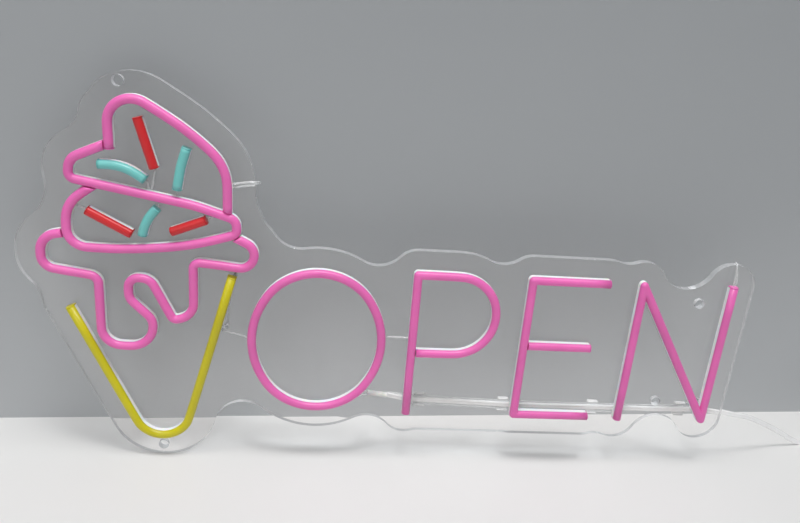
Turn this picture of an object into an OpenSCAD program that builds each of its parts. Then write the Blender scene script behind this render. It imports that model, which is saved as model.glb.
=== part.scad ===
// Ice-cream shop sign: LED neon flex on a contour-cut acrylic backboard.
// Millimetres. X to the right, Y into the wall, Z up.
// The origin is the centre of the top left hang hole, on the board's back face.

/* [Backboard] */
// Thickness of the acrylic sheet
board_t = 5; // [4:0.5:8]
// How far the board reaches past the middle of the tubes
board_margin = 17; // [14:0.5:20]
// How far the whole outline lies below an even margin
outline_drop = 1; // [0:0.5:2]
// Radius of the hollows between two lobes of the outline
hollow_r = 20; // [12:1:24]
// Diameter of the hang holes
hang_d = 7; // [4:0.5:8]
// Diameter of the small wire holes
wire_hole_d = 2.6; // [2:0.1:3]

/* [Neon flex] */
// Width of the flex, which is also the diameter of its dome
flex_w = 6; // [5:0.5:7]
// Height of the white channel that stands on the board
channel_h = 3.2; // [3.2:0.1:6]
// Thickness of the channel's walls and floor
channel_wall = 1; // [0.6:0.1:1.4]
// Height of the LED strip with its chips
strip_h = 1.2; // [0.6:0.1:1.6]
// Depth of the jacket's rib inside the channel
rib_h = 0.9; // [0.5:0.1:1.2]
// Thickness of the silicone seal on a free end
seal_t = 0.8; // [0.4:0.1:1.5]

/* [Letters] */
// Height of the tops of the letters
letters_top = -113; // [-116:0.5:-110]
// Height of the bottoms of the letters
letters_base = -217.5; // [-220:0.5:-214]
// Left edge of the P
p_left = 190; // [186:0.5:192]
// Width of the P
p_width = 56.5; // [56:0.5:60]
// Height of the P's bowl
p_bowl_h = 58; // [57:0.5:62]
// Left edge of the E
e_left = 269; // [266:0.5:272]
// Width of the E
e_width = 53.5; // [48:0.5:56]
// Left edge of the N
n_left = 347.5; // [345:0.5:352]
// Width of the N
n_width = 65; // [60:0.5:68]
// Centre of the O, across
o_x = 124.5; // [120:0.5:128]
// Centre of the O, up
o_z = -165.5; // [-168:0.5:-163]
// Half of the O's width
o_half_w = 44.5; // [42:0.5:46]
// Half of the O's height
o_half_h = 50.5; // [49:0.5:52]
// Radius of the O's two flatter sides
o_side_r = 57; // [53:1:62]

/* [Power lead] */
// Width of the flat twin lead
lead_w = 4; // [3.6:0.1:4.2]
// Thickness of the flat twin lead
lead_t = 2.2; // [1.8:0.1:2.2]
// Mean diameter of the coil
coil_d = 43; // [40:1:46]
// Diameter of a wire
wire_d = 1.4; // [1:0.1:1.6]

/* [Plug] */
// Diameter of the plug's moulded body
plug_d = 9.8; // [9:0.1:11]
// Length of the moulded body
plug_l = 19; // [17:0.5:22]
// Length of its strain relief
relief_l = 6; // [5:0.5:8]
// Outside diameter of the barrel
barrel_d = 5.5; // [5.5:0.1:5.6]
// Bore of the barrel
barrel_bore = 2.1; // [2.1:0.4:2.5]
// Length of the barrel
barrel_l = 9.5; // [9:0.5:11]

/* [Hidden] */

PINK = [0.82, 0.42, 0.68];
YELLOW = [0.78, 0.75, 0.1];
RED = [0.76, 0.14, 0.15];
TEAL = [0.45, 0.71, 0.69];
WHITE = [0.95, 0.93, 0.95];
CREAM = [0.95, 0.95, 0.85];
CLEAR = [0.85, 0.88, 0.9, 0.35];

// Heights above the board's back face
strip_base = board_t + channel_wall;
jacket_base = board_t + channel_h;
slot_w = flex_w - 2 * channel_wall;
// Play inside the channel, and how far a hole's tool goes past the sheet
play = 0.1;
past = 1;
// Degrees between two stations of a bend, and flats on the dome
bend_step = 12;
dome_sides = 8;

// Runs of flex. Each corner is [across, up, radius of its bend], and radius 0 is a cut fold.
SCOOP_TOP = [[-6, -40, 0], [-6.8, 1.9, 15], [40, -25.7, 120], [64.6, -47, 30], [64.6, -76.5, 0]];
SCOOP_SWIRL = [
    [-9.1, -38.4, 0], [-30.3, -48, 10], [-31.3, -60, 4.5], [44, -73.3, 100], [70.3, -81.6, 6.5],
    [70.3, -91.1, 4], [40, -101.3, 150], [-8, -105.5, 200], [-35.3, -104, 12], [-34.3, -76.5, 22],
    [-18.8, -65.4, 0]
];
DRIP = [
    [-37.7, -95.9, 0], [-51.5, -98.3, 12], [-52, -119.2, 9], [-17.3, -124, 6], [-17.8, -173, 13],
    [16, -173.5, 15], [15.7, -153, 10], [1, -138.5, 9], [1.2, -124, 7], [15, -124, 9],
    [29, -153, 4], [42.5, -150, 12], [42.6, -111.2, 4.5], [62, -113, 60], [81.5, -115.2, 9],
    [81.6, -99.4, 8.5], [70.5, -94, 0]
];
CONE = [[-36.3, -146.6, 0], [24, -279, 19.2], [67.3, -121.2, 0]];
LETTER_P = [
    [p_left, letters_base - 1, 0], [p_left, letters_top, 0],
    [p_left + p_width, letters_top, 28], [p_left + p_width, letters_top - p_bowl_h, 28],
    [p_left + flex_w / 2 + 0.3, letters_top - p_bowl_h, 0]
];
LETTER_E = [
    [e_left + e_width, letters_top, 0], [e_left, letters_top, 0],
    [e_left, letters_base, 0], [e_left + e_width + 1, letters_base, 0]
];
LETTER_E_BAR = [
    [e_left + flex_w / 2, (letters_top + letters_base) / 2 + 3, 0],
    [e_left + e_width - 6, (letters_top + letters_base) / 2 + 3, 0]
];
LETTER_N = [
    [n_left, letters_base - 1, 0], [n_left, letters_top, 0],
    [n_left + n_width, letters_base, 0], [n_left + n_width, letters_top + 1.5, 0]
];
RED_TOP = [[11.5, -21, 0], [20, -50.5, 0]];
RED_LEFT = [[-21.3, -80.5, 0], [4.3, -94.2, 0]];
RED_RIGHT = [[30, -91.3, 0], [50.6, -82.9, 0]];
TEAL_LEFT = [[-12.5, -50.5, 0], [2, -50, 30], [14, -58.5, 0]];
TEAL_RIGHT = [[39.9, -37.7, 0], [36.3, -49, 40], [33.7, -63.2, 0]];
TEAL_MID = [[20.5, -77.2, 0], [14, -84, 30], [11.5, -94.3, 0]];
// Directions of the sides that the butted ends lie against, first end and last end
SCOOP_TOP_CUTS = [undef, heading(SCOOP_SWIRL[3], SCOOP_SWIRL[4])];
SWIRL_CUTS = [heading(SCOOP_TOP[0], SCOOP_TOP[1]), heading(SCOOP_SWIRL[2], SCOOP_SWIRL[3])];
DRIP_CUTS = [102.5, 36];
MAIN_RUNS = [
    SCOOP_TOP, SCOOP_SWIRL, DRIP, CONE, LETTER_P, LETTER_E, LETTER_E_BAR, LETTER_N
];
SPRINKLES = [RED_TOP, RED_LEFT, RED_RIGHT, TEAL_LEFT, TEAL_RIGHT, TEAL_MID];

// Areas of the board with no tube round them that are still solid, as corners
BOARD_FILLS = [
    [[190, -217], [269, -217], [269, -170], [190, -170]],
    [[-38, -143], [24, -240], [68, -118], [40, -100], [-30, -100]],
    [[-7, -20], [41, -30], [60, -80], [-20, -95]],
    [[110, -140], [140, -140], [140, -190], [110, -190]],
    [[347, -217], [380, -165], [347, -115]],
    [[412, -217], [380, -165], [412, -115]]
];

// Hang holes and wire holes, [across, up]
HANG_HOLES = [[0, 0], [19, -252.5], [392.5, -126], [376.5, -205.5]];
CONE_WIRE_HOLE = [63.3, -158];
O_WIRE_HOLE = [o_x + 22, o_z - 43.5];
P_WIRE_HOLE = [p_left, letters_base + 1.5];
E_WIRE_HOLES = [[e_left + 5, letters_base - 1], [e_left + e_width - 6, letters_base - 1]];
N_WIRE_HOLE = [n_left, letters_base];
WIRE_HOLES = concat(
    [CONE_WIRE_HOLE, O_WIRE_HOLE, P_WIRE_HOLE, N_WIRE_HOLE], E_WIRE_HOLES
);

// The surface that the sign stands on while its lead lies beside it
floor_z = bend_centre(CONE, 1)[1] - CONE[1][2] - board_margin - outline_drop;
// The middle of the shrink sleeve over the joint of the wires and the lead
SPLICE = [169, 2.1, -208.9];
sleeve_d = 4;
sleeve_l = 14;
sleeve_slope = 7;
// The lead's own route, from the splice along the board's back to the coil: [x, y, z]
LEAD_ROUTE = [
    [176, 1.4, -209], [188, 1.2, -211], [205, 1.2, -212], [235, 1.2, -213], [270, 1.2, -214],
    [305, 1.2, -214], [340, 1.2, -214], [375, 1.2, -214], [405, 1.2, -213.5], [420, 1.4, -214],
    [433, 2.5, -216.5], [446, 4.5, -220], [460, 8, -224], [476, 13, -231.5], [492, 18, -240],
    [505, 21.5, -247.5], [516, 24, -254], [526, 26, -258], [535, 28, -258], [545, 30.5, -258],
    [555, 32.2, -258], [566, 32.7, -258]
];
COIL_CENTRE = [566, 4];
// Turns of lead beside each other in the coil, and the gap between two
coil_layers = 5;
coil_gap = 0.2;
// Middles of the lead's clips, [across, up], their size and the height of their slot
CLIPS_AT = [[200, -212], [262, -213.8], [330, -214], [398, -213.2]];
CLIP_SIZE = [8, 3.4, 10.6];
clip_wall = 0.8;
clip_slot_h = 8;
// Sides of a swept tube
tube_sides = 8;
$fn = 48;

// ---- Runs made of straights and bends ----

function flat(p) = [p[0], p[1]];
function heading(a, b) = atan2(b[1] - a[1], b[0] - a[0]);
function unit(a) = [cos(a), sin(a)];
// Angle that a run turns through at corner i, positive to the left
function turn(run, i) =
    let (t = heading(run[i], run[i + 1]) - heading(run[i - 1], run[i]))
    t > 180 ? t - 360 : t < -180 ? t + 360 : t;
// Length that the bend at corner i takes off each of its two straights
function cut(run, i) = run[i][2] * tan(abs(turn(run, i)) / 2);
// Centre of the bend at corner i
function bend_centre(run, i) =
    let (a = heading(run[i - 1], run[i]), side = sign(turn(run, i)))
    flat(run[i]) - cut(run, i) * unit(a) + side * run[i][2] * unit(a + 90);
function steps(angle) = max(2, ceil(abs(angle) / bend_step));

// A station is [middle, reach to the left, reach to the right]: the cross-section's x is laid
// along one reach or the other. An end can be cut along the direction of what it butts against.
function end_station(p, a, along) =
    let (reach = along == undef ? unit(a + 90) : unit(along) / sin(along - a))
    [flat(p), reach, -reach];
function bend_stations(run, i) =
    let (
        a = heading(run[i - 1], run[i]), t = turn(run, i), c = bend_centre(run, i),
        side = sign(t), n = steps(t), r = run[i][2]
    )
    [for (k = [0 : n]) let (out = unit(a + t * k / n + 90)) [c - side * r * out, out, -out]];
// At a fold the inner side meets in one point and the outer side goes round. The first and last
// stations are on the straights, just clear of the fold.
function fold_stations(run, i) =
    let (
        a = heading(run[i - 1], run[i]), t = turn(run, i), n = steps(t),
        inner = unit(a + t / 2 + (t > 0 ? 90 : -90)) / cos(t / 2),
        clear = flex_w / 2 * (tan(abs(t) / 2) + 1)
    )
    [
        end_station(flat(run[i]) - clear * unit(a), a),
        for (k = [0 : n]) let (out = unit(a + t * k / n + (t > 0 ? -90 : 90)))
            t > 0 ? [flat(run[i]), inner, out] : [flat(run[i]), out, inner],
        end_station(flat(run[i]) + clear * unit(a + t), a + t)
    ];
function stations(run, cut_first, cut_last) =
    let (n = len(run) - 1)
    [
        end_station(run[0], heading(run[0], run[1]), cut_first),
        for (i = [1 : 1 : n - 1]) each
            run[i][2] > 0 ? bend_stations(run, i) : fold_stations(run, i),
        end_station(run[n], heading(run[n - 1], run[n]), cut_last)
    ];
// The O: two flat sides and two tighter ends that meet them smoothly
function o_stations() =
    let (
        in = o_side_r - o_half_w, d = o_half_h - o_half_w,
        up = d * (2 * in - d) / (2 * (in - d)), a = atan2(up, in)
    )
    [
        for (part = [
            [[-in, 0], o_side_r, -a, a], [[0, up], o_half_h - up, a, 180 - a],
            [[in, 0], o_side_r, 180 - a, 180 + a], [[0, -up], o_half_h - up, 180 + a, 360 - a]
        ])
        let (n = steps(part[3] - part[2]))
        for (k = [0 : n - 1])
        let (out = unit(part[2] + (part[3] - part[2]) * k / n))
        [[o_x, o_z] + part[0] + part[1] * out, -out, out]
    ];

// A face's corners, less any that lies where the next one does
function without_doubles(face, points) = [
    for (i = [0 : len(face) - 1])
        if (norm(points[face[i]] - points[face[(i + 1) % len(face)]]) > 0.001) face[i]
];
// A cross-section carried past every station. caps splits the section into faces for the two
// ends, and closed joins the last station to the first.
module carry(places, section, caps, closed = false) {
    n = len(places);
    m = len(section);
    points = [for (s = places) for (q = section)
        let (p = s[0] + (q[0] < 0 ? -q[0] * s[2] : q[0] * s[1])) [p[0], -q[1], p[1]]];
    sides = [for (i = [0 : closed ? n - 1 : n - 2]) for (k = [0 : m - 1])
        let (j = (i + 1) % n, next = (k + 1) % m)
        [i * m + k, j * m + k, j * m + next, i * m + next]];
    ends = closed ? [] : [
        for (f = caps) f,
        for (f = caps) [for (k = [len(f) - 1 : -1 : 0]) (n - 1) * m + f[k]]
    ];
    whole_sides = [for (f = sides) let (g = without_doubles(f, points)) if (len(g) > 2) g];
    polyhedron(points, concat(whole_sides, ends));
}

// ---- Cross-sections: x to the left of the run, y out from the board's back ----

function box_section(w, low, high) = [[-w / 2, low], [w / 2, low], [w / 2, high], [-w / 2, high]];
channel_section = [
    [-flex_w / 2, board_t], [flex_w / 2, board_t], [flex_w / 2, jacket_base],
    [slot_w / 2, jacket_base], [slot_w / 2, strip_base],
    [-slot_w / 2, strip_base], [-slot_w / 2, jacket_base], [-flex_w / 2, jacket_base]
];
channel_caps = [[7, 0, 5, 6], [0, 1, 4, 5], [1, 2, 3, 4]];
strip_section = box_section(slot_w - 2 * play, strip_base, strip_base + strip_h);
strip_caps = [[0, 1, 2, 3]];
dome = [for (a = [0 : 180 / dome_sides : 180])
    [flex_w / 2 * cos(a), jacket_base + flex_w / 2 * sin(a)]];
jacket_section = concat(dome, [
    [play - slot_w / 2, jacket_base], [play - slot_w / 2, jacket_base - rib_h],
    [slot_w / 2 - play, jacket_base - rib_h], [slot_w / 2 - play, jacket_base]
]);
// The jacket's end is a fan from the top of its dome, and its rib
dome_top = dome_sides / 2;
rib_at = dome_sides + 1;
jacket_caps = concat(
    [for (k = [0 : dome_sides]) if (k != dome_top && k + 1 != dome_top) [dome_top, k, k + 1]],
    [[dome_top, rib_at, rib_at + 3], [dome_top, rib_at + 3, 0]],
    [[rib_at, rib_at + 1, rib_at + 2, rib_at + 3]]
);
whole_section = concat([[-flex_w / 2, board_t], [flex_w / 2, board_t]], dome);
whole_caps = [[for (k = [0 : dome_sides + 2]) k]];

// ---- The three pieces of a run. cuts are the directions of what its two ends butt against ----

module channel(run, cuts = []) color(WHITE)
    carry(stations(run, cuts[0], cuts[1]), channel_section, channel_caps);
module led_strip(run, cuts = []) color(CREAM)
    carry(stations(run, cuts[0], cuts[1]), strip_section, strip_caps);
module jacket(run, tint, cuts = []) color(tint)
    carry(stations(run, cuts[0], cuts[1]), jacket_section, jacket_caps);

module letter_o_channel() color(WHITE) carry(o_stations(), channel_section, closed = true);
module letter_o_led_strip() color(CREAM) carry(o_stations(), strip_section, closed = true);
module letter_o_jacket() color(PINK) carry(o_stations(), jacket_section, closed = true);
module sprinkle_led_strips() for (run = SPRINKLES) led_strip(run);

// ---- Backboard ----

// A run as a thin line, for the outline to grow from
module thin_line(run) {
    path = [for (s = stations(run)) s[0]];
    for (i = [0 : len(path) - 2]) if (path[i] != path[i + 1]) {
        side = play * unit(heading(path[i], path[i + 1]) + 90);
        polygon([path[i] - side, path[i + 1] - side, path[i + 1] + side, path[i] + side]);
    }
}
module board_outline() {
    translate([0, -outline_drop]) offset(r = -hollow_r) offset(r = board_margin + hollow_r) {
        for (run = MAIN_RUNS) thin_line(run);
        for (area = BOARD_FILLS) polygon(area);
        translate([o_x, o_z]) scale([o_half_w, o_half_h]) circle(1);
    }
}
module backboard() {
    color(CLEAR) rotate([90, 0, 0]) difference() {
        linear_extrude(board_t) board_outline($fn = 72);
        for (p = HANG_HOLES) translate([p[0], p[1], -past])
            cylinder(d = hang_d, h = board_t + 2 * past);
        for (p = WIRE_HOLES) translate([p[0], p[1], -past])
            cylinder(d = wire_hole_d, h = board_t + 2 * past);
    }
}

// ---- End seals ----

// A run's first end or its last, and the direction that it points in
function end_point(run, last) = flat(run[last ? len(run) - 1 : 0]);
function end_heading(run, last) =
    let (n = len(run) - 1) last ? heading(run[n - 1], run[n]) : heading(run[1], run[0]);

// A thin silicone cap on an end
module seal(run, last = false) {
    p = end_point(run, last);
    a = end_heading(run, last);
    carry([end_station(p, a), end_station(p + seal_t * unit(a), a)], whole_section, whole_caps);
}
module end_seals_pink() {
    color(PINK) {
        seal(SCOOP_TOP);
        seal(LETTER_P);
        seal(LETTER_E);
        seal(LETTER_E, true);
        seal(LETTER_E_BAR, true);
        seal(LETTER_N);
        seal(LETTER_N, true);
    }
}
module seals_at_both_ends(runs, tint) {
    color(tint) for (run = runs) {
        seal(run);
        seal(run, true);
    }
}

// ---- Wires and the lead, swept tubes ----

// The direction of a route at point i
function going(route, i) =
    let (a = route[max(i - 1, 0)], b = route[min(i + 1, len(route) - 1)])
    (b - a) / norm(b - a);
// The sideways directions of a tube's rings: level all along, or turned no more than the bends do
function level_sides(route) = [for (i = [0 : len(route) - 1])
    let (side = cross(going(route, i), [0, 0, 1])) side / norm(side)];
function carried_sides(route, side = [0.3, 0.5, 0.8], i = 0) =
    i == len(route) ? [] :
    let (t = going(route, i), s = side - (side * t) * t, next = s / norm(s))
    concat([next], carried_sides(route, next, i + 1));
// One ring of a tube. size is [across the side direction, along it].
function ring(middle, t, side, size) =
    let (up = cross(side, t))
    [for (k = [0 : tube_sides - 1])
        let (a = 360 * (k + 0.5) / tube_sides)
        middle + side * cos(a) * size[1] / 2 + up * sin(a) * size[0] / 2];
module swept(route, size, side) {
    n = len(route);
    points = [for (i = [0 : n - 1]) each ring(route[i], going(route, i), side[i], size)];
    sides = [for (i = [0 : n - 2]) for (k = [0 : tube_sides - 1])
        let (next = (k + 1) % tube_sides)
        [i * tube_sides + k, i * tube_sides + next,
            (i + 1) * tube_sides + next, (i + 1) * tube_sides + k]];
    first = [for (k = [tube_sides - 1 : -1 : 0]) k];
    last = [for (k = [0 : tube_sides - 1]) (n - 1) * tube_sides + k];
    polyhedron(points, concat([first], sides, [last]));
}
// A smooth route through points chosen by hand (a Catmull-Rom curve), steps to each stretch
function smooth(p, steps) = [
    for (i = [0 : len(p) - 2]) for (k = [0 : steps - 1])
        let (
            u = k / steps,
            a = p[max(i - 1, 0)], b = p[i], c = p[i + 1], d = p[min(i + 2, len(p) - 1)]
        )
        (2 * b + (c - a) * u + (2 * a - 5 * b + 4 * c - d) * u * u
            + (3 * b - a - 3 * c + d) * u * u * u) / 2,
    p[len(p) - 1]
];
back_y = wire_d / 2 + 0.05;
front_y = -(board_t + 2);
through_y = -board_t + 0.05;
module wire(route) color(CLEAR) swept(route, [wire_d, wire_d], carried_sides(route));

// A wire along the board's back, by way of some [x, z] points, between two holes under the flex
function hop(a, way, b) = [
    [a[0], through_y, a[1]], [a[0], -1.2, a[1]], [a[0] + 0.4, 0.1, a[1]],
    [a[0] + 1.6, back_y, a[1]],
    for (p = way) [p[0], back_y, p[1]],
    [b[0] - 1.6, back_y, b[1]],
    [b[0] - 0.4, 0.1, b[1]], [b[0], -1.2, b[1]], [b[0], through_y, b[1]]
];
// A short wire on the board's front face, from a run's sealed end to the side of the flex at b
function short_wire(run, last, b) =
    let (
        y = -board_t - wire_d / 2 - 0.05,
        a = end_point(run, last) + (seal_t + 0.4) * unit(end_heading(run, last))
    )
    [[a[0], y, a[1]], [(a[0] + b[0]) / 2, y - 0.2, (a[1] + b[1]) / 2 + 0.3], [b[0], y, b[1]]];

// From the scoop's right end, over the board's edge, then behind the flex as far as the splice
module wire_scoop() {
    wire([
        [67.9, -7.2, -58.5], [72, -7, -57.4], [77, -6.3, -56.7], [81.5, -5.8, -56.5],
        [83.6, -4.6, -56.7], [84.2, -2.5, -57.2], [83.6, -0.2, -58.4], [82, back_y, -59.6],
        [72, back_y, -60.8], [65.5, back_y, -63], [63, back_y, -68], [63.5, back_y, -78],
        [66, back_y, -82.5], [68.5, back_y, -87], [70, back_y, -92.5], [75, back_y, -97],
        [79, back_y, -103], [79, back_y, -111], [73.5, back_y, -115.5], [66, back_y, -122.5],
        [61.4, back_y, -139.5], [58.6, back_y, -150], [57.2, back_y, -157.5], [60, back_y, -163],
        [68, back_y, -164.5], [75.5, back_y, -166.2], [79.6, back_y, -171],
        [81, back_y, -179], [86, back_y, -194], [96.5, back_y, -208],
        [111, back_y, -216.5], [125, back_y, -218], [140, back_y, -215], [152, back_y, -211.2],
        [162, 1.2, -209.4]
    ]);
}
module wire_letter_n() {
    x = n_left + n_width;
    top = letters_top + board_margin - outline_drop;
    wire([
        [x, front_y, letters_top + 2.4], [x, front_y + 0.2, top - 8], [x, -6.2, top - 1],
        [x, -5, top + 1.9], [x, -2.5, top + 2.6], [x + 1, -0.2, top + 1.6],
        [x + 3, back_y, top - 1.5], [x + 5.5, back_y, top - 12], [x + 6, back_y, top - 26],
        [x + 6, back_y, -160], [x + 6, back_y, -190], [x + 2, back_y, -203],
        [x - 12, back_y, -210.4], [375, back_y, -210.9], [340, back_y, -210.9],
        [270, back_y, -210.9], [235, back_y, -209.9], [205, back_y, -208.9],
        [190, back_y, -208], [183, 1.5, -207.4], [178.5, 2.8, -208], [176.1, 3.3, -208.6]
    ]);
}
module wire_letter_o() {
    a = O_WIRE_HOLE;
    wire([
        [a[0], through_y, a[1]], [a[0], -1.2, a[1]], [a[0] + 0.5, 0.1, a[1] - 0.1],
        [a[0] + 2, back_y, a[1]], [158, back_y, -207.4], [162, 1.2, -207]
    ]);
}
module wire_o_to_p() {
    wire([
        [o_x + o_half_w + 3.1, front_y, -160], [178, front_y + 0.4, -159.6],
        [p_left - flex_w / 2 - 0.1, front_y, -160]
    ]);
}
module wire_p_to_e() {
    way = [[196, -215.2], [205, -215.2], [235, -216.2], [262, -217.1]];
    wire(hop(P_WIRE_HOLE, way, E_WIRE_HOLES[0]));
}
module wire_e_to_n() wire(hop(E_WIRE_HOLES[1], [[326, -217.4], [340, -217.3]], N_WIRE_HOLE));
module wire_cone() {
    a = CONE_WIRE_HOLE;
    wire([
        [a[0] - 2.6, -8, a[1] + 2.6], [a[0] - 0.7, -6.6, a[1] + 0.9], [a[0], -4.4, a[1]],
        [a[0], -1, a[1]], [a[0] + 0.1, 0.3, a[1] + 0.6], [a[0] + 0.4, back_y, a[1] + 2],
        [64.4, back_y, -146], [65.2, back_y, -138], [67.5, back_y, -128], [69.5, back_y, -121.5]
    ]);
}
module wires_sprinkles() {
    wire(short_wire(RED_TOP, true, [18, -65.2]));
    wire(short_wire(TEAL_LEFT, true, [16.2, -64.9]));
    wire(short_wire(TEAL_RIGHT, true, [33.3, -67.9]));
    wire(short_wire(TEAL_MID, false, [22.3, -73]));
    wire(short_wire(RED_LEFT, false, [-28, -77.8]));
    wire(short_wire(RED_RIGHT, true, [56.2, -80.9]));
}

// ---- Splice, clips, lead, coil and plug ----

module splice_sleeve() {
    color([0.92, 0.92, 0.9, 0.8]) translate(SPLICE) rotate([0, 90 + sleeve_slope, 0])
        cylinder(d = sleeve_d, h = sleeve_l, center = true);
}
module lead_clips() {
    color(CLEAR) for (p = CLIPS_AT)
        translate([p[0] - CLIP_SIZE[0] / 2, 0, p[1] - CLIP_SIZE[2] / 2]) difference() {
            cube(CLIP_SIZE);
            translate([-past, -past, (CLIP_SIZE[2] - clip_slot_h) / 2])
                cube([CLIP_SIZE[0] + 2 * past, CLIP_SIZE[1] - clip_wall + past, clip_slot_h]);
        }
}
module power_lead() {
    route = smooth(LEAD_ROUTE, 2);
    color(CLEAR) swept(route, [lead_w, lead_t], level_sides(route));
}

coil_in = coil_d / 2 - coil_layers * (lead_t + coil_gap) / 2;
coil_out = coil_d / 2 + coil_layers * (lead_t + coil_gap) / 2;
coil_h = 2 * lead_w + coil_gap;
module lead_coil() {
    color(CLEAR) translate([COIL_CENTRE[0], COIL_CENTRE[1], floor_z]) rotate_extrude()
        translate([coil_in, 0]) square([coil_out - coil_in, coil_h]);
}
module coil_tie() {
    grow = 0.3;
    wall = 1;
    reach = [6, coil_out - coil_in + 2 * (grow + wall), coil_h + grow + wall];
    color([0.15, 0.15, 0.16])
        translate([COIL_CENTRE[0] - reach[0] / 2, COIL_CENTRE[1] - coil_out - grow - wall, floor_z])
        difference() {
            cube(reach);
            translate([-past, wall, -past])
                cube([reach[0] + 2 * past, reach[1] - 2 * wall, reach[2] + past - wall]);
        }
}

// The plug lies along X on top of the coil's back half, and the lead enters it at PLUG_START
PLUG_START = [COIL_CENTRE[0] - 7, COIL_CENTRE[1] + 18, floor_z + coil_h + plug_d / 2];
module plug_body() {
    color([0.1, 0.1, 0.11]) translate(PLUG_START) rotate([0, 90, 0]) {
        cylinder(d1 = lead_w + 0.4, d2 = plug_d - 1.8, h = relief_l);
        translate([0, 0, relief_l]) cylinder(d = plug_d, h = plug_l);
    }
}
module plug_barrel() {
    color([0.75, 0.75, 0.77]) translate(PLUG_START + [relief_l + plug_l, 0, 0])
        rotate([0, 90, 0]) difference() {
            cylinder(d = barrel_d, h = barrel_l);
            translate([0, 0, past]) cylinder(d = barrel_bore, h = barrel_l);
        }
}

// ---- What each node draws ----

backboard();

channel(SCOOP_TOP, SCOOP_TOP_CUTS);  // scoop_top_channel
led_strip(SCOOP_TOP, SCOOP_TOP_CUTS);  // scoop_top_led_strip
jacket(SCOOP_TOP, PINK, SCOOP_TOP_CUTS);  // scoop_top_jacket
channel(SCOOP_SWIRL, SWIRL_CUTS);  // scoop_swirl_channel
led_strip(SCOOP_SWIRL, SWIRL_CUTS);  // scoop_swirl_led_strip
jacket(SCOOP_SWIRL, PINK, SWIRL_CUTS);  // scoop_swirl_jacket
channel(DRIP, DRIP_CUTS);  // drip_channel
led_strip(DRIP, DRIP_CUTS);  // drip_led_strip
jacket(DRIP, PINK, DRIP_CUTS);  // drip_jacket
channel(CONE);  // cone_channel
led_strip(CONE);  // cone_led_strip
jacket(CONE, YELLOW);  // cone_jacket

letter_o_channel();
letter_o_led_strip();
letter_o_jacket();
channel(LETTER_P);  // letter_p_channel
led_strip(LETTER_P);  // letter_p_led_strip
jacket(LETTER_P, PINK);  // letter_p_jacket
channel(LETTER_E);  // letter_e_channel
led_strip(LETTER_E);  // letter_e_led_strip
jacket(LETTER_E, PINK);  // letter_e_jacket
channel(LETTER_E_BAR);  // letter_e_bar_channel
led_strip(LETTER_E_BAR);  // letter_e_bar_led_strip
jacket(LETTER_E_BAR, PINK);  // letter_e_bar_jacket
channel(LETTER_N);  // letter_n_channel
led_strip(LETTER_N);  // letter_n_led_strip
jacket(LETTER_N, PINK);  // letter_n_jacket

channel(RED_TOP);  // sprinkle_red_top_channel
jacket(RED_TOP, RED);  // sprinkle_red_top_jacket
channel(RED_LEFT);  // sprinkle_red_left_channel
jacket(RED_LEFT, RED);  // sprinkle_red_left_jacket
channel(RED_RIGHT);  // sprinkle_red_right_channel
jacket(RED_RIGHT, RED);  // sprinkle_red_right_jacket
channel(TEAL_LEFT);  // sprinkle_teal_left_channel
jacket(TEAL_LEFT, TEAL);  // sprinkle_teal_left_jacket
channel(TEAL_RIGHT);  // sprinkle_teal_right_channel
jacket(TEAL_RIGHT, TEAL);  // sprinkle_teal_right_jacket
channel(TEAL_MID);  // sprinkle_teal_mid_channel
jacket(TEAL_MID, TEAL);  // sprinkle_teal_mid_jacket
sprinkle_led_strips();

end_seals_pink();
seals_at_both_ends([CONE], YELLOW);  // end_seals_yellow
seals_at_both_ends([RED_TOP, RED_LEFT, RED_RIGHT], RED);  // end_seals_red
seals_at_both_ends([TEAL_LEFT, TEAL_RIGHT, TEAL_MID], TEAL);  // end_seals_teal

wire_scoop();
wire_letter_n();
wire_letter_o();
wire_o_to_p();
wire_p_to_e();
wire_e_to_n();
wire_cone();
wires_sprinkles();

splice_sleeve();
lead_clips();
power_lead();
lead_coil();
coil_tie();
plug_body();
plug_barrel();
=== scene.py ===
import math

import bmesh
import bpy
from mathutils import Matrix, Vector


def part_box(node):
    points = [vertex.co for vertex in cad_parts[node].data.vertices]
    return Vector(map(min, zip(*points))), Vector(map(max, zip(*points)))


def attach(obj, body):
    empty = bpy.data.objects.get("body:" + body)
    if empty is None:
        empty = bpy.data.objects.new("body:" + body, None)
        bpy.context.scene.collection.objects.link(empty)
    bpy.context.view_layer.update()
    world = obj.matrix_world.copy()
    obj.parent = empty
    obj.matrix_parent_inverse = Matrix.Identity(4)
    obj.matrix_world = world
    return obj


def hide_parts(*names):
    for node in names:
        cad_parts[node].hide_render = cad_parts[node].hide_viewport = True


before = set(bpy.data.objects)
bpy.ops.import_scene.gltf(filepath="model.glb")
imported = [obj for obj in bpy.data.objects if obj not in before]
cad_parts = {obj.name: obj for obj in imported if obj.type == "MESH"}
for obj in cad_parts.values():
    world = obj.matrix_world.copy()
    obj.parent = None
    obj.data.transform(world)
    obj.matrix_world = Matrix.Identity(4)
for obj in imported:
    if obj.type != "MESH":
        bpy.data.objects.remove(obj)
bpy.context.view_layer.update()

MM = 0.001
UP = Vector((0, 0, 1))
BODY = "root"
# The sign stands on the lowest point of its board
FLOOR_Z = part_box("backboard")[0].z


# ---- Camera: solved from the photo, whose small tilt is the roll ----

EYE = Vector((130.93, -442.94, 50.84)) * MM
YAW, PITCH, ROLL = -6.02, -19.49, 4.85
LENS = 31.5


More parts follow.
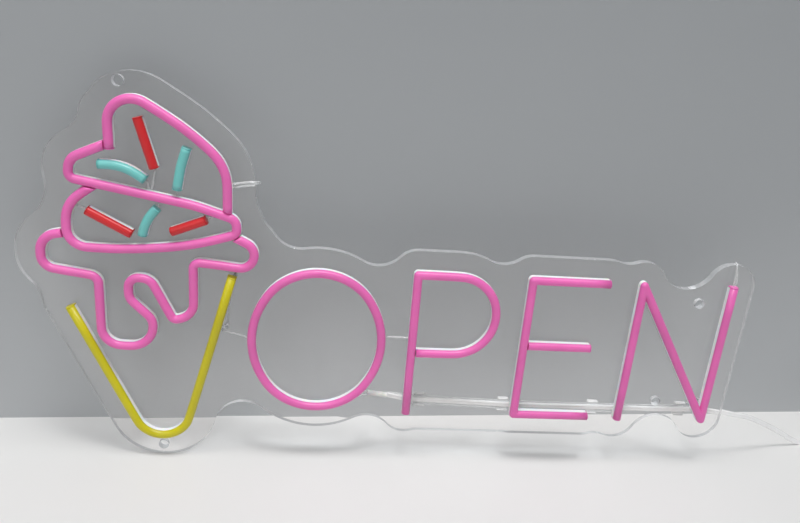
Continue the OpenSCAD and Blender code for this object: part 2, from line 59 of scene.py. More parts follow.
def add_camera():
    data = bpy.data.cameras.new("sign_camera")
    data.lens = LENS
    camera = bpy.data.objects.new("sign_camera", data)
    yaw = Matrix.Rotation(math.radians(YAW), 4, "Z")
    tilt = Matrix.Rotation(math.radians(90 + PITCH), 4, "X")
    roll = Matrix.Rotation(math.radians(ROLL), 4, "Z")
    camera.matrix_world = Matrix.Translation(EYE) @ yaw @ tilt @ roll
    bpy.context.scene.collection.objects.link(camera)
    bpy.context.scene.camera = camera


# ---- Small helpers for pieces ----

def new_object(name, mesh):
    piece = bpy.data.objects.new(name, mesh)
    bpy.context.scene.collection.objects.link(piece)
    return piece


def object_from(name, bm):
    """A new object with the bmesh's shape. The bmesh is freed."""
    mesh = bpy.data.meshes.new(name)
    bm.to_mesh(mesh)
    bm.free()
    return new_object(name, mesh)


def finished(piece, material, slot, *nodes):
    """The piece gets its material, rides on the sign, and stands for the named CAD nodes. slot is not
    used.
    """
    piece.data.materials.clear()
    piece.data.materials.append(material)
    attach(piece, BODY)
    if nodes:
        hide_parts(*nodes)
    return piece


def mesh_from(name, points, faces, smooth=True):
    mesh = bpy.data.meshes.new(name)
    mesh.from_pydata([tuple(p) for p in points], [], faces)
    mesh.polygons.foreach_set("use_smooth", [smooth] * len(mesh.polygons))
    mesh.update()
    return mesh


def welded(node):
    """A bmesh of a CAD node with its split corners joined and its flat pairs of triangles merged."""
    bm = bmesh.new()
    bm.from_mesh(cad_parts[node].data)
    bmesh.ops.remove_doubles(bm, verts=bm.verts, dist=2e-6)
    bmesh.ops.join_triangles(
        bm, faces=bm.faces, angle_face_threshold=math.radians(0.6),
        angle_shape_threshold=math.pi
    )
    return bm


def flattened(node):
    """A bmesh of a CAD node with each flat side as one face."""
    bm = welded(node)
    bmesh.ops.dissolve_limit(
        bm, angle_limit=math.radians(0.05), verts=bm.verts, edges=bm.edges
    )
    return bm


def sharp_edges(bm, degrees):
    limit = math.radians(degrees)
    return [e for e in bm.edges if len(e.link_faces) == 2 and e.calc_face_angle() > limit]


# ---- The lead: one 1.5 m flat twin, from the splice to the plug ----

LEAD_ROUTE = [
    (176, 1.4, -209), (188, 1.2, -211), (205, 1.2, -212), (235, 1.2, -213), (270, 1.2, -214),
    (305, 1.2, -214), (340, 1.2, -214), (375, 1.2, -214), (405, 1.2, -213.5), (420, 1.4, -214),
    (433, 2.5, -216.5), (446, 4.5, -220), (460, 8, -224), (476, 13, -231.5), (492, 18, -240),
    (505, 21.5, -247.5), (516, 24, -254), (526, 26, -258), (535, 28, -258), (545, 30.5, -258),
    (555, 32.2, -258), (566, 32.7, -258)
]
LEAD_WIDTH = 4 * MM
LEAD_THICKNESS = 2.2 * MM
STRAND_RADIUS = 0.5 * MM

# The coil: its turns lie a pitch apart in two layers, and its last part turn lifts to the plug
TURN_PITCH = 2.4 * MM
LAYER_GAP = 0.2 * MM
LOWER_TURNS = 4.5
ALL_TURNS = 8
LIFT_TURNS = 0.25
# The upper layer starts this much inside the lower one, and ends this far from the coil's outside
UPPER_INSET = 0.6 * MM
LEAVING_INSET = 4.1 * MM

# How finely each part of the lead is drawn
STEPS_A_SPAN = 4
STEPS_A_TURN = 30
LAST_BEND_STEPS = 12
CORE_STEPS = 8
STRAND_SIDES = 6


def smooth(points, steps):
    """A Catmull-Rom curve through the points."""
    curve = []
    for i in range(len(points) - 1):
        a, b = points[max(i - 1, 0)], points[i]
        c, d = points[i + 1], points[min(i + 2, len(points) - 1)]
        for k in range(steps):
            u = k / steps
            bend = (c - a) * u + (2 * a - 5 * b + 4 * c - d) * u * u
            curve.append(b + (bend + (3 * b - a - 3 * c + d) * u ** 3) / 2)
    return curve + [points[-1]]


def eased(u):
    """A share from 0 to 1 that starts and ends gently."""
    return u * u * (3 - 2 * u)


def turns(centre, first, last, radii, heights):
    """Points clockwise round the coil. first and last count turns from the coil's back."""
    count = max(2, round((last - first) * STEPS_A_TURN))
    points = []
    for k in range(count):
        u = k / count
        angle = math.radians(90 - 360 * (first + (last - first) * u))
        radius = radii[0] + (radii[1] - radii[0]) * u
        height = heights[0] + (heights[1] - heights[0]) * eased(u)
        points.append(Vector((
            centre.x + radius * math.cos(angle), centre.y + radius * math.sin(angle), height
        )))
    return points


def plug_start():
    """Where the lead goes into the plug: the middle of the plug's first end."""
    low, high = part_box("plug_body")
    return Vector((low.x, (low.y + high.y) / 2, (low.z + high.z) / 2))


def coil_path(start):
    """From the floor beside the coil, inwards in a spiral, outwards on top, and into the plug."""
    low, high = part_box("lead_coil")
    centre = (low + high) / 2
    outer = high.x - centre.x
    plug = plug_start()
    lower = start.z
    upper = lower + LEAD_WIDTH + LAYER_GAP
    outside, inside = outer - TURN_PITCH / 2, outer - LOWER_TURNS * TURN_PITCH
    upper_inside = inside - UPPER_INSET
    # The last bend leaves the top layer at its own radius and ends level at the plug
    leaving = outer - LEAVING_INSET
    to_plug = plug - centre
    bend = (leaving ** 2 - to_plug.x ** 2 - to_plug.y ** 2) / (2 * (leaving - to_plug.y))
    swing = math.asin(-to_plug.x / (leaving - bend))
    last = ALL_TURNS - math.degrees(swing) / 360
    lift_from = last - LIFT_TURNS
    lift_arc = LIFT_TURNS * 2 * math.pi * leaving
    lift_length = lift_arc + bend * swing
    lifted = upper + (plug.z - upper) * eased(lift_arc / lift_length)
    climb_from, climb_to = LOWER_TURNS, LOWER_TURNS + 0.5
    path = turns(centre, 0, 0.5, (start.y - centre.y, outside), (lower, lower))
    path += turns(centre, 0.5, climb_from, (outside, inside), (lower, lower))
    path += turns(centre, climb_from, climb_to, (inside, upper_inside), (lower, upper))
    path += turns(centre, climb_to, lift_from, (upper_inside, leaving), (upper, upper))
    path += turns(centre, lift_from, last, (leaving, leaving), (upper, lifted))
    for k in range(LAST_BEND_STEPS + 1):
        angle = swing * (1 - k / LAST_BEND_STEPS)
        share = (lift_arc + bend * (swing - angle)) / lift_length
        height = upper + (plug.z - upper) * eased(share)
        path.append(Vector((
            plug.x - bend * math.sin(angle), plug.y - bend * (1 - math.cos(angle)), height
        )))
    return path


def twin_section():
    """Outline of the flat twin: two round cores side by side, joined by a waist."""
    radius = LEAD_THICKNESS / 2
    middle = LEAD_WIDTH / 2 - radius
    outline = []
    for up, first in ((1, -40), (-1, 140)):
        for k in range(CORE_STEPS + 1):
            angle = math.radians(first + 260 * k / CORE_STEPS)
            outline.append((radius * math.cos(angle), up * middle + radius * math.sin(angle)))
    return outline


def swept_tube(name, path, section):
    """The section, [across, up], carried along the path, with a flat cap on each end."""
    points, faces = [], []
    count = len(section)
    for i, middle in enumerate(path):
        along = (path[min(i + 1, len(path) - 1)] - path[max(i - 1, 0)]).normalized()
        side = along.cross(UP).normalized()
        rise = side.cross(along)
        points += [middle + side * q[0] + rise * q[1] for q in section]
    for i in range(len(path) - 1):
        for k in range(count):
            n = (k + 1) % count
            faces.append((i * count + k, i * count + n, (i + 1) * count + n, (i + 1) * count + k))
    faces.append(tuple(reversed(range(count))))
    faces.append(tuple(range((len(path) - 1) * count, len(path) * count)))
    return mesh_from(name, points, faces)


def round_section(radius, sides, up):
    """A circle whose middle is up from the path."""
    return [
        (radius * math.cos(2 * math.pi * k / sides), up + radius * math.sin(2 * math.pi * k / sides))
        for k in range(sides)
    ]


def add_lead(materials):
    """The jacket and its two strands, on one path. The plug and the tie are made here too."""
    route = smooth([Vector(p) * MM for p in LEAD_ROUTE], STEPS_A_SPAN)
    path = route[:-1] + coil_path(route[-1])
    lead = new_object("lead_jacket", swept_tube("lead_jacket", path, twin_section()))
    finished(lead, materials["clear_lead"], "clear_lead", "power_lead", "lead_coil")
    core_up = (LEAD_WIDTH - LEAD_THICKNESS) / 2
    strands = []
    for k, up in enumerate((core_up, -core_up)):
        mesh = swept_tube(f"lead_strand_{k}", path, round_section(STRAND_RADIUS, STRAND_SIDES, up))
        strand = new_object(f"lead_strand_{k}", mesh)
        strands.append(finished(strand, materials["strand"], "clear_lead"))
    on_it = strands + [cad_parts["plug_barrel"], add_plug(materials), add_tie(materials)]


# ---- Plug and tie ----

PLUG_SIDES = 40
RELIEF_LENGTH = 6 * MM
RELIEF_RIBS = 3
RIB_PITCH = 1.75 * MM
RIB_STEP = 0.55 * MM
GRIP_GROOVES = 4
GROOVE_PITCH = 2.1 * MM
GROOVE_DEPTH = 0.4 * MM


def lathe(name, profile, start):
    """A turned piece along X. profile is [distance along, radius], and start is its axis's first end."""
    points, faces = [], []
    for along, radius in profile:
        for k in range(PLUG_SIDES):
            a = 2 * math.pi * k / PLUG_SIDES
            points.append(start + Vector((along, radius * math.cos(a), radius * math.sin(a))))
    for i in range(len(profile) - 1):
        for k in range(PLUG_SIDES):
            n = (k + 1) % PLUG_SIDES
            faces.append((
                i * PLUG_SIDES + k, i * PLUG_SIDES + n,
                (i + 1) * PLUG_SIDES + n, (i + 1) * PLUG_SIDES + k
            ))
    faces.append(tuple(reversed(range(PLUG_SIDES))))
    faces.append(tuple(range((len(profile) - 1) * PLUG_SIDES, len(profile) * PLUG_SIDES)))
    return mesh_from(name, points, faces)


def add_plug(materials):
    """The moulded plug: a ribbed strain relief, then a body with grip grooves and rounded ends."""
    low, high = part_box("plug_body")
    length = high.x - low.x
    radius = (high.z - low.z) / 2
    profile = [(0, 2.0 * MM), (0.25 * MM, 2.3 * MM)]
    for k in range(RELIEF_RIBS):
        at = 0.6 * MM + RIB_PITCH * k
        thick = 2.6 * MM + RIB_STEP * k
        profile += [(at, thick), (at + 0.9 * MM, thick + 0.15 * MM)]
        profile += [(at + 1.05 * MM, thick - 0.45 * MM), (at + 1.55 * MM, thick - 0.4 * MM)]
    profile += [(RELIEF_LENGTH, radius - 1.2 * MM), (RELIEF_LENGTH + 0.35 * MM, radius - 0.35 * MM)]
    profile += [(RELIEF_LENGTH + 1.1 * MM, radius)]
    for k in range(GRIP_GROOVES):
        at = RELIEF_LENGTH + 3.2 * MM + GROOVE_PITCH * k
        profile += [(at, radius), (at + 0.25 * MM, radius - GROOVE_DEPTH)]
        profile += [(at + 0.85 * MM, radius - GROOVE_DEPTH), (at + 1.1 * MM, radius)]
    profile += [(length - 0.9 * MM, radius), (length - 0.25 * MM, radius - 0.3 * MM)]
    profile += [(length, radius - 0.9 * MM)]
    plug = new_object("plug_moulding", lathe("plug_moulding", profile, plug_start()))
    plug.data.set_sharp_from_angle(angle=math.radians(50))
    return finished(plug, materials["black_plastic"], "black_plastic", "plug_body")


def add_tie(materials):
    """The band round the coil: the CAD shape with its corners rounded."""
    bm = flattened("coil_tie")
    bmesh.ops.bevel(bm, geom=sharp_edges(bm, 60), offset=0.3 * MM, segments=2, affect="EDGES")
    return finished(object_from("coil_band", bm), materials["band"], "black_plastic", "coil_tie")


# ---- Materials ----

class Nodes:
    """A new material's node tree, with one short call for each kind of node."""

    def __init__(self, name):
        self.material = bpy.data.materials.new(name)
        self.material.use_nodes = True
        self.tree = self.material.node_tree
        self.shader = self.tree.nodes["Principled BSDF"]
        self.output = self.tree.nodes["Material Output"]
        self.place = self.tree.nodes.new("ShaderNodeTexCoord").outputs["Object"]

    def set(self, **values):
        for name, value in values.items():
            self.shader.inputs[name.replace("_", " ")].default_value = value

    def link(self, source, target):
        self.tree.links.new(source, target)

    def noise(self, size, detail=3.0, rough=0.5, stretch=None):
        """Noise with features about size metres across."""
        node = self.tree.nodes.new("ShaderNodeTexNoise")
        node.inputs["Scale"].default_value = 1 / size
        node.inputs["Detail"].default_value = detail
        node.inputs["Roughness"].default_value = rough
        place = self.place
        if stretch:
            mapping = self.tree.nodes.new("ShaderNodeMapping")
            mapping.inputs["Scale"].default_value = stretch
            self.link(place, mapping.inputs["Vector"])
            place = mapping.outputs["Vector"]
        self.link(place, node.inputs["Vector"])
        return node.outputs["Fac"]

    def ramp(self, value, stops):
        """A colour from a value. stops is a list of [value, colour]."""
        node = self.tree.nodes.new("ShaderNodeValToRGB")
        while len(node.color_ramp.elements) < len(stops):
            node.color_ramp.elements.new(0.5)
        for element, (at, tint) in zip(node.color_ramp.elements, stops):
            element.position = at
            element.color = (*tint, 1)
        self.link(value, node.inputs["Fac"])
        return node.outputs["Color"]

    def spread(self, value, low, high, rough_from=0.3, rough_to=0.7):
        """A value from rough_from to rough_to becomes one from low to high."""
        node = self.tree.nodes.new("ShaderNodeMapRange")
        node.inputs["From Min"].default_value = rough_from
        node.inputs["From Max"].default_value = rough_to
        node.inputs["To Min"].default_value = low
        node.inputs["To Max"].default_value = high
        self.link(value, node.inputs["Value"])
        return node.outputs["Result"]

    def mixed(self, kind, factor, a, b):
        """Colour b mixed into a. factor is a socket, or None for all of b."""
        node = self.tree.nodes.new("ShaderNodeMix")
        node.data_type = "RGBA"
        node.blend_type = kind
        if factor is None:
            node.inputs["Factor"].default_value = 1
        else:
            self.link(factor, node.inputs["Factor"])
        self.link(a, node.inputs["A"])
        self.link(b, node.inputs["B"])
        return node.outputs["Result"]

    def bump(self, height, strength, distance, under=None):
        """Relief from a value, distance metres deep, on top of another relief if one is given."""
        node = self.tree.nodes.new("ShaderNodeBump")
        node.inputs["Strength"].default_value = strength
        node.inputs["Distance"].default_value = distance
        self.link(height, node.inputs["Height"])
        if under:
            self.link(under, node.inputs["Normal"])
        return node.outputs["Normal"]


def tone(colour, factor):
    """The colour made darker or lighter."""
    return tuple(min(1, c * factor) for c in colour)


def linear(*screen):
    """A colour of 0 to 255, as a screen shows it, in linear light."""
    return tuple(((c / 255 + 0.055) / 1.055) ** 2.4 if c > 10 else c / 255 / 12.92 for c in screen)


def silicone(name, colour, glow):
    """Dyed silicone: satin, faintly cloudy, with fine dust and a slight moulded ripple."""
    n = Nodes(name)
    cloud = n.noise(26 * MM, 3)
    grain = n.noise(1.1 * MM, 2)
    dust = n.noise(0.5 * MM, 2, 0.7)
    tint = n.ramp(cloud, [(0.3, tone(colour, 0.93)), (0.5, colour), (0.72, tone(colour, 1.06))])
    speck = n.ramp(dust, [(0.0, (0, 0, 0)), (0.7, (0, 0, 0)), (0.78, (0.35, 0.35, 0.35))])
    pale = n.ramp(grain, [(0.0, tone(colour, 1.35)), (1.0, tone(colour, 1.5))])
    n.link(n.mixed("MIX", speck, tint, pale), n.shader.inputs["Base Color"])
    n.link(n.spread(n.noise(3 * MM, 4), 0.3, 0.46), n.shader.inputs["Roughness"])
    ripple = n.bump(n.noise(5 * MM, 2), 0.25, 0.25 * MM)
    n.link(n.bump(grain, 0.18, 0.06 * MM, ripple), n.shader.inputs["Normal"])
    n.set(IOR=1.43, Coat_Weight=0.3, Coat_Roughness=0.28)
    n.set(Subsurface_Weight=0.35, Subsurface_Scale=1.6 * MM, Subsurface_Radius=glow)
    return n.material


def white_silicone():
    """The channel: milky white extrusion with fine lines along it."""
    n = Nodes("white_silicone")
    cloud = n.noise(14 * MM, 3)
    n.link(
        n.ramp(cloud, [(0.3, (0.83, 0.81, 0.83)), (0.7, (0.93, 0.92, 0.93))]),
        n.shader.inputs["Base Color"]
    )
    n.link(n.spread(n.noise(2 * MM, 3), 0.36, 0.5), n.shader.inputs["Roughness"])
    n.link(n.bump(n.noise(0.9 * MM, 2), 0.2, 0.08 * MM), n.shader.inputs["Normal"])
    n.set(IOR=1.43, Subsurface_Weight=0.4, Subsurface_Scale=2 * MM)
    return n.material


def acrylic():
    """Clear cast sheet: polished, with faint smears, dust and hairline scratches."""
    n = Nodes("clear_acrylic")
    smear = n.noise(45 * MM, 4, 0.6)
    scratch = n.noise(6 * MM, 2, 0.5, (1, 1, 14))
    wear = n.mixed("ADD", smear, n.ramp(smear, [(0.55, (0, 0, 0)), (0.8, (0.5, 0.5, 0.5))]), scratch)
    n.link(n.spread(wear, 0.012, 0.07, 0.4, 1.3), n.shader.inputs["Roughness"])
    n.link(
        n.ramp(smear, [(0.3, (0.955, 0.945, 0.942)), (0.7, (0.975, 0.966, 0.963))]),
        n.shader.inputs["Base Color"]
    )
    n.link(n.bump(smear, 0.05, 0.3 * MM), n.shader.inputs["Normal"])
    n.set(IOR=1.49, Transmission_Weight=1.0)
    lets_light_through(n)
    return n.material


def acrylic_edge():
    """The sheet's cut edge: less polished than its faces, so light from above shows on it."""
    n = Nodes("clear_acrylic_edge")
    cuts = n.noise(1.6 * MM, 3, 0.6, (1, 0.1, 1))
    n.link(n.spread(cuts, 0.1, 0.28), n.shader.inputs["Roughness"])
    n.link(
        n.ramp(cuts, [(0.3, (0.88, 0.9, 0.92)), (0.7, (0.97, 0.98, 1.0))]),
        n.shader.inputs["Base Color"]
    )
    n.link(n.bump(cuts, 0.25, 0.08 * MM), n.shader.inputs["Normal"])
    n.set(IOR=1.49, Transmission_Weight=0.55)
    lets_light_through(n)
    return n.material


def lets_light_through(n, tint=(0.96, 0.97, 0.98, 1)):
    """Shadow rays pass, so what is behind the clear piece is lit as through a real sheet."""
    clear = n.tree.nodes.new("ShaderNodeBsdfTransparent")
    clear.inputs["Color"].default_value = tint
    rays = n.tree.nodes.new("ShaderNodeLightPath")
    mix = n.tree.nodes.new("ShaderNodeMixShader")
    n.link(rays.outputs["Is Shadow Ray"], mix.inputs["Fac"])
    n.link(n.shader.outputs["BSDF"], mix.inputs[1])
    n.link(clear.outputs["BSDF"], mix.inputs[2])
    n.link(mix.outputs["Shader"], n.output.inputs["Surface"])


def clear_vinyl(name, milk, weight):
    """Clear insulation, a little milky, with a soft unevenness from the extruder."""
    n = Nodes(name)
    cloud = n.noise(9 * MM, 3)
    n.link(n.ramp(cloud, [(0.3, tone(milk, 0.94)), (0.7, milk)]), n.shader.inputs["Base Color"])
    n.link(n.spread(n.noise(3 * MM, 3), 0.08, 0.22), n.shader.inputs["Roughness"])
    n.link(n.bump(n.noise(4 * MM, 2), 0.3, 0.15 * MM), n.shader.inputs["Normal"])
    n.set(IOR=1.53, Transmission_Weight=weight)
    lets_light_through(n, (0.9, 0.91, 0.92, 1))
    return n.material


def strand():
    """Tinned copper strands: bright metal with a fine twist along them."""
    n = Nodes("tinned_strand")
    twist = n.noise(0.5 * MM, 2, 0.5, (1, 1, 3))
    n.link(
        n.ramp(twist, [(0.3, (0.62, 0.61, 0.6)), (0.7, (0.86, 0.85, 0.83))]),
        n.shader.inputs["Base Color"]
    )
    n.link(n.spread(twist, 0.25, 0.42), n.shader.inputs["Roughness"])
    n.link(n.bump(twist, 0.5, 0.1 * MM), n.shader.inputs["Normal"])
    n.set(Metallic=1.0)
    return n.material


def led_strip():
    """A narrow flexible circuit: cream solder mask, with a pattern of small yellow chips."""
    n = Nodes("led_strip")
    chips = n.tree.nodes.new("ShaderNodeTexVoronoi")
    chips.inputs["Scale"].default_value = 1 / (4 * MM)
    n.link(n.place, chips.inputs["Vector"])
    base = n.ramp(n.noise(6 * MM, 3), [(0.3, (0.8, 0.79, 0.7)), (0.7, (0.9, 0.89, 0.82))])
    chip = n.ramp(n.noise(2 * MM), [(0.3, (0.83, 0.6, 0.12)), (0.7, (0.9, 0.72, 0.2))])
    where = n.ramp(chips.outputs["Distance"], [(0.2, (1, 1, 1)), (0.26, (0, 0, 0))])
    n.link(n.mixed("MIX", where, base, chip), n.shader.inputs["Base Color"])
    n.link(n.spread(n.noise(3 * MM), 0.3, 0.5), n.shader.inputs["Roughness"])
    return n.material


def heat_shrink():
    """Milky shrink sleeve, drawn in unevenly round the joint."""
    n = Nodes("heat_shrink")
    cloud = n.noise(5 * MM, 3)
    n.link(
        n.ramp(cloud, [(0.3, (0.72, 0.72, 0.7)), (0.7, (0.88, 0.88, 0.86))]),
        n.shader.inputs["Base Color"]
    )
    n.link(n.spread(cloud, 0.28, 0.45), n.shader.inputs["Roughness"])
    n.link(n.bump(n.noise(2.5 * MM, 3), 0.6, 0.4 * MM), n.shader.inputs["Normal"])
    n.set(Subsurface_Weight=0.3, Subsurface_Scale=2 * MM)
    return n.material


def black_plastic(name="black_plastic", size=0.35, high=0.5):
    """Moulded PVC or nylon: near black, with fine spark grain and rubbed patches."""
    n = Nodes(name)
    rubbed = n.noise(7 * MM, 3)
    n.link(
        n.ramp(rubbed, [(0.35, (0.014, 0.014, 0.015)), (0.75, (0.035, 0.035, 0.037))]),
        n.shader.inputs["Base Color"]
    )
    n.link(n.spread(rubbed, 0.34, high), n.shader.inputs["Roughness"])
    n.link(n.bump(n.noise(size * MM, 2, 0.6), 0.5, 0.06 * MM), n.shader.inputs["Normal"])
    return n.material


def plated_metal():
    """Nickel plating with fine turning lines round the barrel and light handling marks."""
    n = Nodes("plated_metal")
    marks = n.noise(2.5 * MM, 4, 0.6)
    lines = n.noise(0.8 * MM, 2, 0.5, (6, 0.2, 0.2))
    n.link(
        n.ramp(marks, [(0.3, (0.66, 0.65, 0.62)), (0.7, (0.8, 0.79, 0.77))]),
        n.shader.inputs["Base Color"]
    )
    n.link(n.spread(marks, 0.16, 0.34), n.shader.inputs["Roughness"])
    n.link(n.bump(lines, 0.3, 0.03 * MM), n.shader.inputs["Normal"])
    n.set(Metallic=1.0)
    return n.material


def all_materials():
    return {
        "pink_silicone": silicone("pink_silicone", linear(226, 106, 178), (1.0, 0.35, 0.7)),
        "yellow_silicone": silicone("yellow_silicone", linear(198, 188, 4), (1.0, 0.9, 0.2)),
        "red_silicone": silicone("red_silicone", linear(202, 30, 36), (1.0, 0.25, 0.2)),
        "teal_silicone": silicone("teal_silicone", linear(112, 192, 188), (0.4, 0.9, 0.9)),
        "white_silicone": white_silicone(),
        "clear_acrylic": acrylic(),
        "clear_acrylic_edge": acrylic_edge(),
        "clear_lead": clear_vinyl("clear_lead", (0.97, 0.97, 0.97), 0.2),
        "clear_wire": clear_vinyl("clear_wire", (0.9, 0.91, 0.91), 0.75),
        "strand": strand(),
        "led_strip": led_strip(),
        "heat_shrink": heat_shrink(),
        "black_plastic": black_plastic(),
        "band": black_plastic("woven_band", 0.6, 0.7),
        "plated_metal": plated_metal(),
    }


# ---- Flex, board and wires: smooth pieces made from the CAD nodes' own shapes ----

# Angles in degrees from which an edge is a true edge of the piece
CREASE_FROM = 40
BEVEL_FROM = 50

FLEX_LEVELS = 2
WIRE_LEVELS = 1
SEAL_BEVEL = 0.3 * MM
CLIP_BEVEL = 0.4 * MM
BOARD_BEVEL = 0.6 * MM
BOARD_BEVEL_STEPS = 3
# A face of the board that looks less than this along Y belongs to its cut edge
EDGE_FACES = 0.9


def smoothed(name, node, levels):
    """The node's shape with its bends subdivided and its true edges kept."""
    bm = welded(node)
    crease = bm.edges.layers.float.get("crease_edge") or bm.edges.layers.float.new("crease_edge")
    for edge in sharp_edges(bm, CREASE_FROM):
        edge[crease] = 1.0
    for face in bm.faces:
        face.smooth = True
    piece = object_from(name, bm)
    piece.data.set_sharp_from_angle(angle=math.radians(CREASE_FROM))
    rounds = piece.modifiers.new("rounds", "SUBSURF")
    rounds.levels = levels
    rounds.render_levels = levels
    return piece


def bevelled(name, node, width, segments=2):
    """The node's shape with its true edges rounded, and its flat faces kept flat in the shading."""
    bm = flattened(node)
    bmesh.ops.bevel(
        bm, geom=sharp_edges(bm, BEVEL_FROM), offset=width, segments=segments, affect="EDGES",
        clamp_overlap=True
    )
    for face in bm.faces:
        face.smooth = True
    piece = object_from(name, bm)
    piece.data.set_sharp_from_angle(angle=math.radians(BEVEL_FROM))
    weighted = piece.modifiers.new("weighted", "WEIGHTED_NORMAL")
    weighted.keep_sharp = True
    return piece


def slot_of(node):
    """The silicone a jacket or seal is made of, from a word in its name. Most of the sign is pink."""
    for word, colour in (("cone", "yellow"), ("yellow", "yellow"), ("red", "red"), ("teal", "teal")):
        if word in node:
            return f"{colour}_silicone"
    return "pink_silicone"


def add_flex(materials):
    """Every run's white channel and coloured jacket, and the seals on the free ends."""
    for node in sorted(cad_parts):
        if node.endswith("_jacket"):
            slot = slot_of(node)
            finished(smoothed(f"{node}_skin", node, FLEX_LEVELS), materials[slot], slot, node)
        elif node.endswith("_channel"):
            piece = smoothed(f"{node}_skin", node, FLEX_LEVELS)
            finished(piece, materials["white_silicone"], "white_silicone", node)
        elif node.startswith("end_seals"):
            slot = slot_of(node)
            finished(bevelled(f"{node}_skin", node, SEAL_BEVEL), materials[slot], slot, node)


def add_board(materials):
    """The clear sheet, with its cut edge in a material of its own."""
    board = bevelled("backboard_sheet", "backboard", BOARD_BEVEL, BOARD_BEVEL_STEPS)
    finished(board, materials["clear_acrylic"], "clear_acrylic", "backboard")
    board.data.materials.append(materials["clear_acrylic_edge"])
    for face in board.data.polygons:
        if abs(face.normal.y) < EDGE_FACES:
            face.material_index = 1


def add_wires(materials):
    """The clear wires between the runs, and the clips that hold the lead."""
    for node in sorted(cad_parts):
        if node.startswith("wire"):
            piece = smoothed(f"{node}_insulation", node, WIRE_LEVELS)
            finished(piece, materials["clear_wire"], "clear_lead", node)
    clips = bevelled("lead_clips_moulding", "lead_clips", CLIP_BEVEL)
    finished(clips, materials["clear_lead"], "clear_lead", "lead_clips")


def dress(node, material):
    """A CAD node whose own shape stays gets its finished material."""
    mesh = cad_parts[node].data
    mesh.materials.clear()
    mesh.materials.append(material)


def dress_cad_nodes(materials):
    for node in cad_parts:
        if node.endswith(("led_strip", "led_strips")):
            dress(node, materials["led_strip"])
    dress("splice_sleeve", materials["heat_shrink"])
    dress("plug_barrel", materials["plated_metal"])


# ---- Stage and light ----

STAGE_REACH = 3.0
STAGE_MIDDLE = 0.18
# The wall's turn and lean in degrees follow the photo's line between wall and table
WALL_Y = 54 * MM
WALL_TURN = 3.7
WALL_LEAN = 6
WALL_BELOW = 0.1
# Height in metres over which the painted light on the wall's foot fades out
PAINTED_LIGHT_HEIGHT = 0.42
STUDIO_LIGHT = 0.45


def plain(name, low, high, rough):
    """A plain matt stage surface with the faintest cloudiness."""
    n = Nodes(name)
    n.link(n.ramp(n.noise(0.3, 2), [(0.3, low), (0.7, high)]), n.shader.inputs["Base Color"])
    n.set(Roughness=rough)
    return n


def stage_plane(name, corners, look):
    plane = new_object(name, mesh_from(name, corners, [(0, 1, 2, 3)], False))
    plane.data.materials.append(look.material)
    return plane


def painted_light_at_the_foot(wall):
    """Painted light: the wall's colour grows lighter over its lowest stretch, as the photo's does, in
    place of light falling more brightly there.
    """
    up = wall.tree.nodes.new("ShaderNodeSeparateXYZ")
    wall.link(wall.place, up.inputs["Vector"])
    height = wall.spread(up.outputs["Z"], 0, 1, 0, PAINTED_LIGHT_HEIGHT)
    # Painted light added to the wall's colour: most at its foot, fading out upwards
    lift = wall.ramp(height, [(0.0, (0.18, 0.18, 0.18)), (0.5, (0.07, 0.07, 0.07)), (1.0, (0, 0, 0))])
    colour = wall.shader.inputs["Base Color"].links[0].from_socket
    wall.link(wall.mixed("ADD", None, colour, lift), wall.shader.inputs["Base Color"])


def seen_from_the_front(wall):
    """The wall is clear from behind, so the sign can be looked at from there."""
    clear = wall.tree.nodes.new("ShaderNodeBsdfTransparent")
    side = wall.tree.nodes.new("ShaderNodeNewGeometry")
    mix = wall.tree.nodes.new("ShaderNodeMixShader")
    wall.link(side.outputs["Backfacing"], mix.inputs["Fac"])
    wall.link(wall.shader.outputs["BSDF"], mix.inputs[1])
    wall.link(clear.outputs["BSDF"], mix.inputs[2])
    wall.link(mix.outputs["Shader"], wall.output.inputs["Surface"])


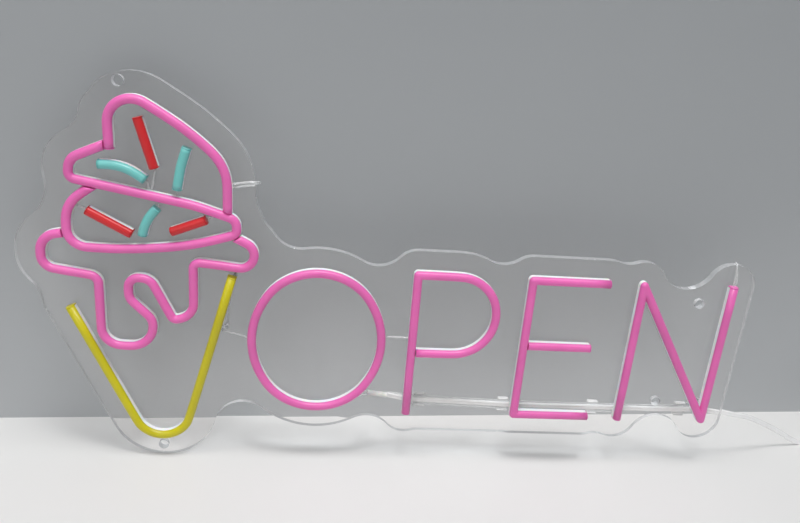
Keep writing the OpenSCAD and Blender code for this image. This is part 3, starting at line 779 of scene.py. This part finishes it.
def add_stage():
    """A pale floor, and a plain wall close behind the sign."""
    reach = STAGE_REACH
    floor = plain("stage_floor", (0.74, 0.735, 0.725), (0.76, 0.755, 0.745), 0.35)
    stage_plane("stage_floor", [
        (-reach, -reach, FLOOR_Z), (reach, -reach, FLOOR_Z),
        (reach, reach, FLOOR_Z), (-reach, reach, FLOOR_Z)
    ], floor)
    wall = plain("stage_wall", (0.295, 0.31, 0.323), (0.309, 0.324, 0.337), 0.7)
    # Painted light on the wall's lowest stretch
    painted_light_at_the_foot(wall)
    seen_from_the_front(wall)
    plane = stage_plane("stage_wall", [
        (-reach, 0, -WALL_BELOW), (reach, 0, -WALL_BELOW), (reach, 0, reach), (-reach, 0, reach)
    ], wall)
    plane.location = (STAGE_MIDDLE, WALL_Y, FLOOR_Z)
    plane.rotation_euler = (math.radians(WALL_LEAN), 0, math.radians(WALL_TURN))


def add_area_light(name, at, aim, size, power, tint=(1, 1, 1)):
    """A soft rectangular light at a place, turned towards its aim. power is in watts."""
    data = bpy.data.lights.new(name, "AREA")
    data.shape = "RECTANGLE"
    data.size, data.size_y = size
    data.energy = power
    data.color = tint
    light = bpy.data.objects.new(name, data)
    light.location = at
    light.rotation_euler = (Vector(aim) - Vector(at)).to_track_quat("-Z", "Y").to_euler()
    bpy.context.scene.collection.objects.link(light)


def add_lights():
    world = bpy.data.worlds.new("studio")
    world.use_nodes = True
    background = world.node_tree.nodes["Background"]
    background.inputs["Color"].default_value = (0.95, 0.97, 1.0, 1)
    background.inputs["Strength"].default_value = STUDIO_LIGHT
    bpy.context.scene.world = world
    add_area_light("overhead", (0.2, -0.28, 1.3), (STAGE_MIDDLE, -0.05, -0.2), (1.4, 0.5), 14)
    add_area_light("lamp", (0.2, -0.35, 1.2), (STAGE_MIDDLE, 0, -0.1), (0.22, 0.2), 4.5)
    add_area_light("front_fill", (-0.6, -1.5, 0.85), (0.1, 0, -0.2), (1, 1), 6, (1, 0.98, 0.95))


# ---- The whole scene ----

def make_scene():
    add_camera()
    materials = all_materials()
    add_lead(materials)
    add_flex(materials)
    add_board(materials)
    add_wires(materials)
    dress_cad_nodes(materials)
    add_stage()
    add_lights()
    bpy.context.scene.view_settings.view_transform = "Standard"


make_scene()
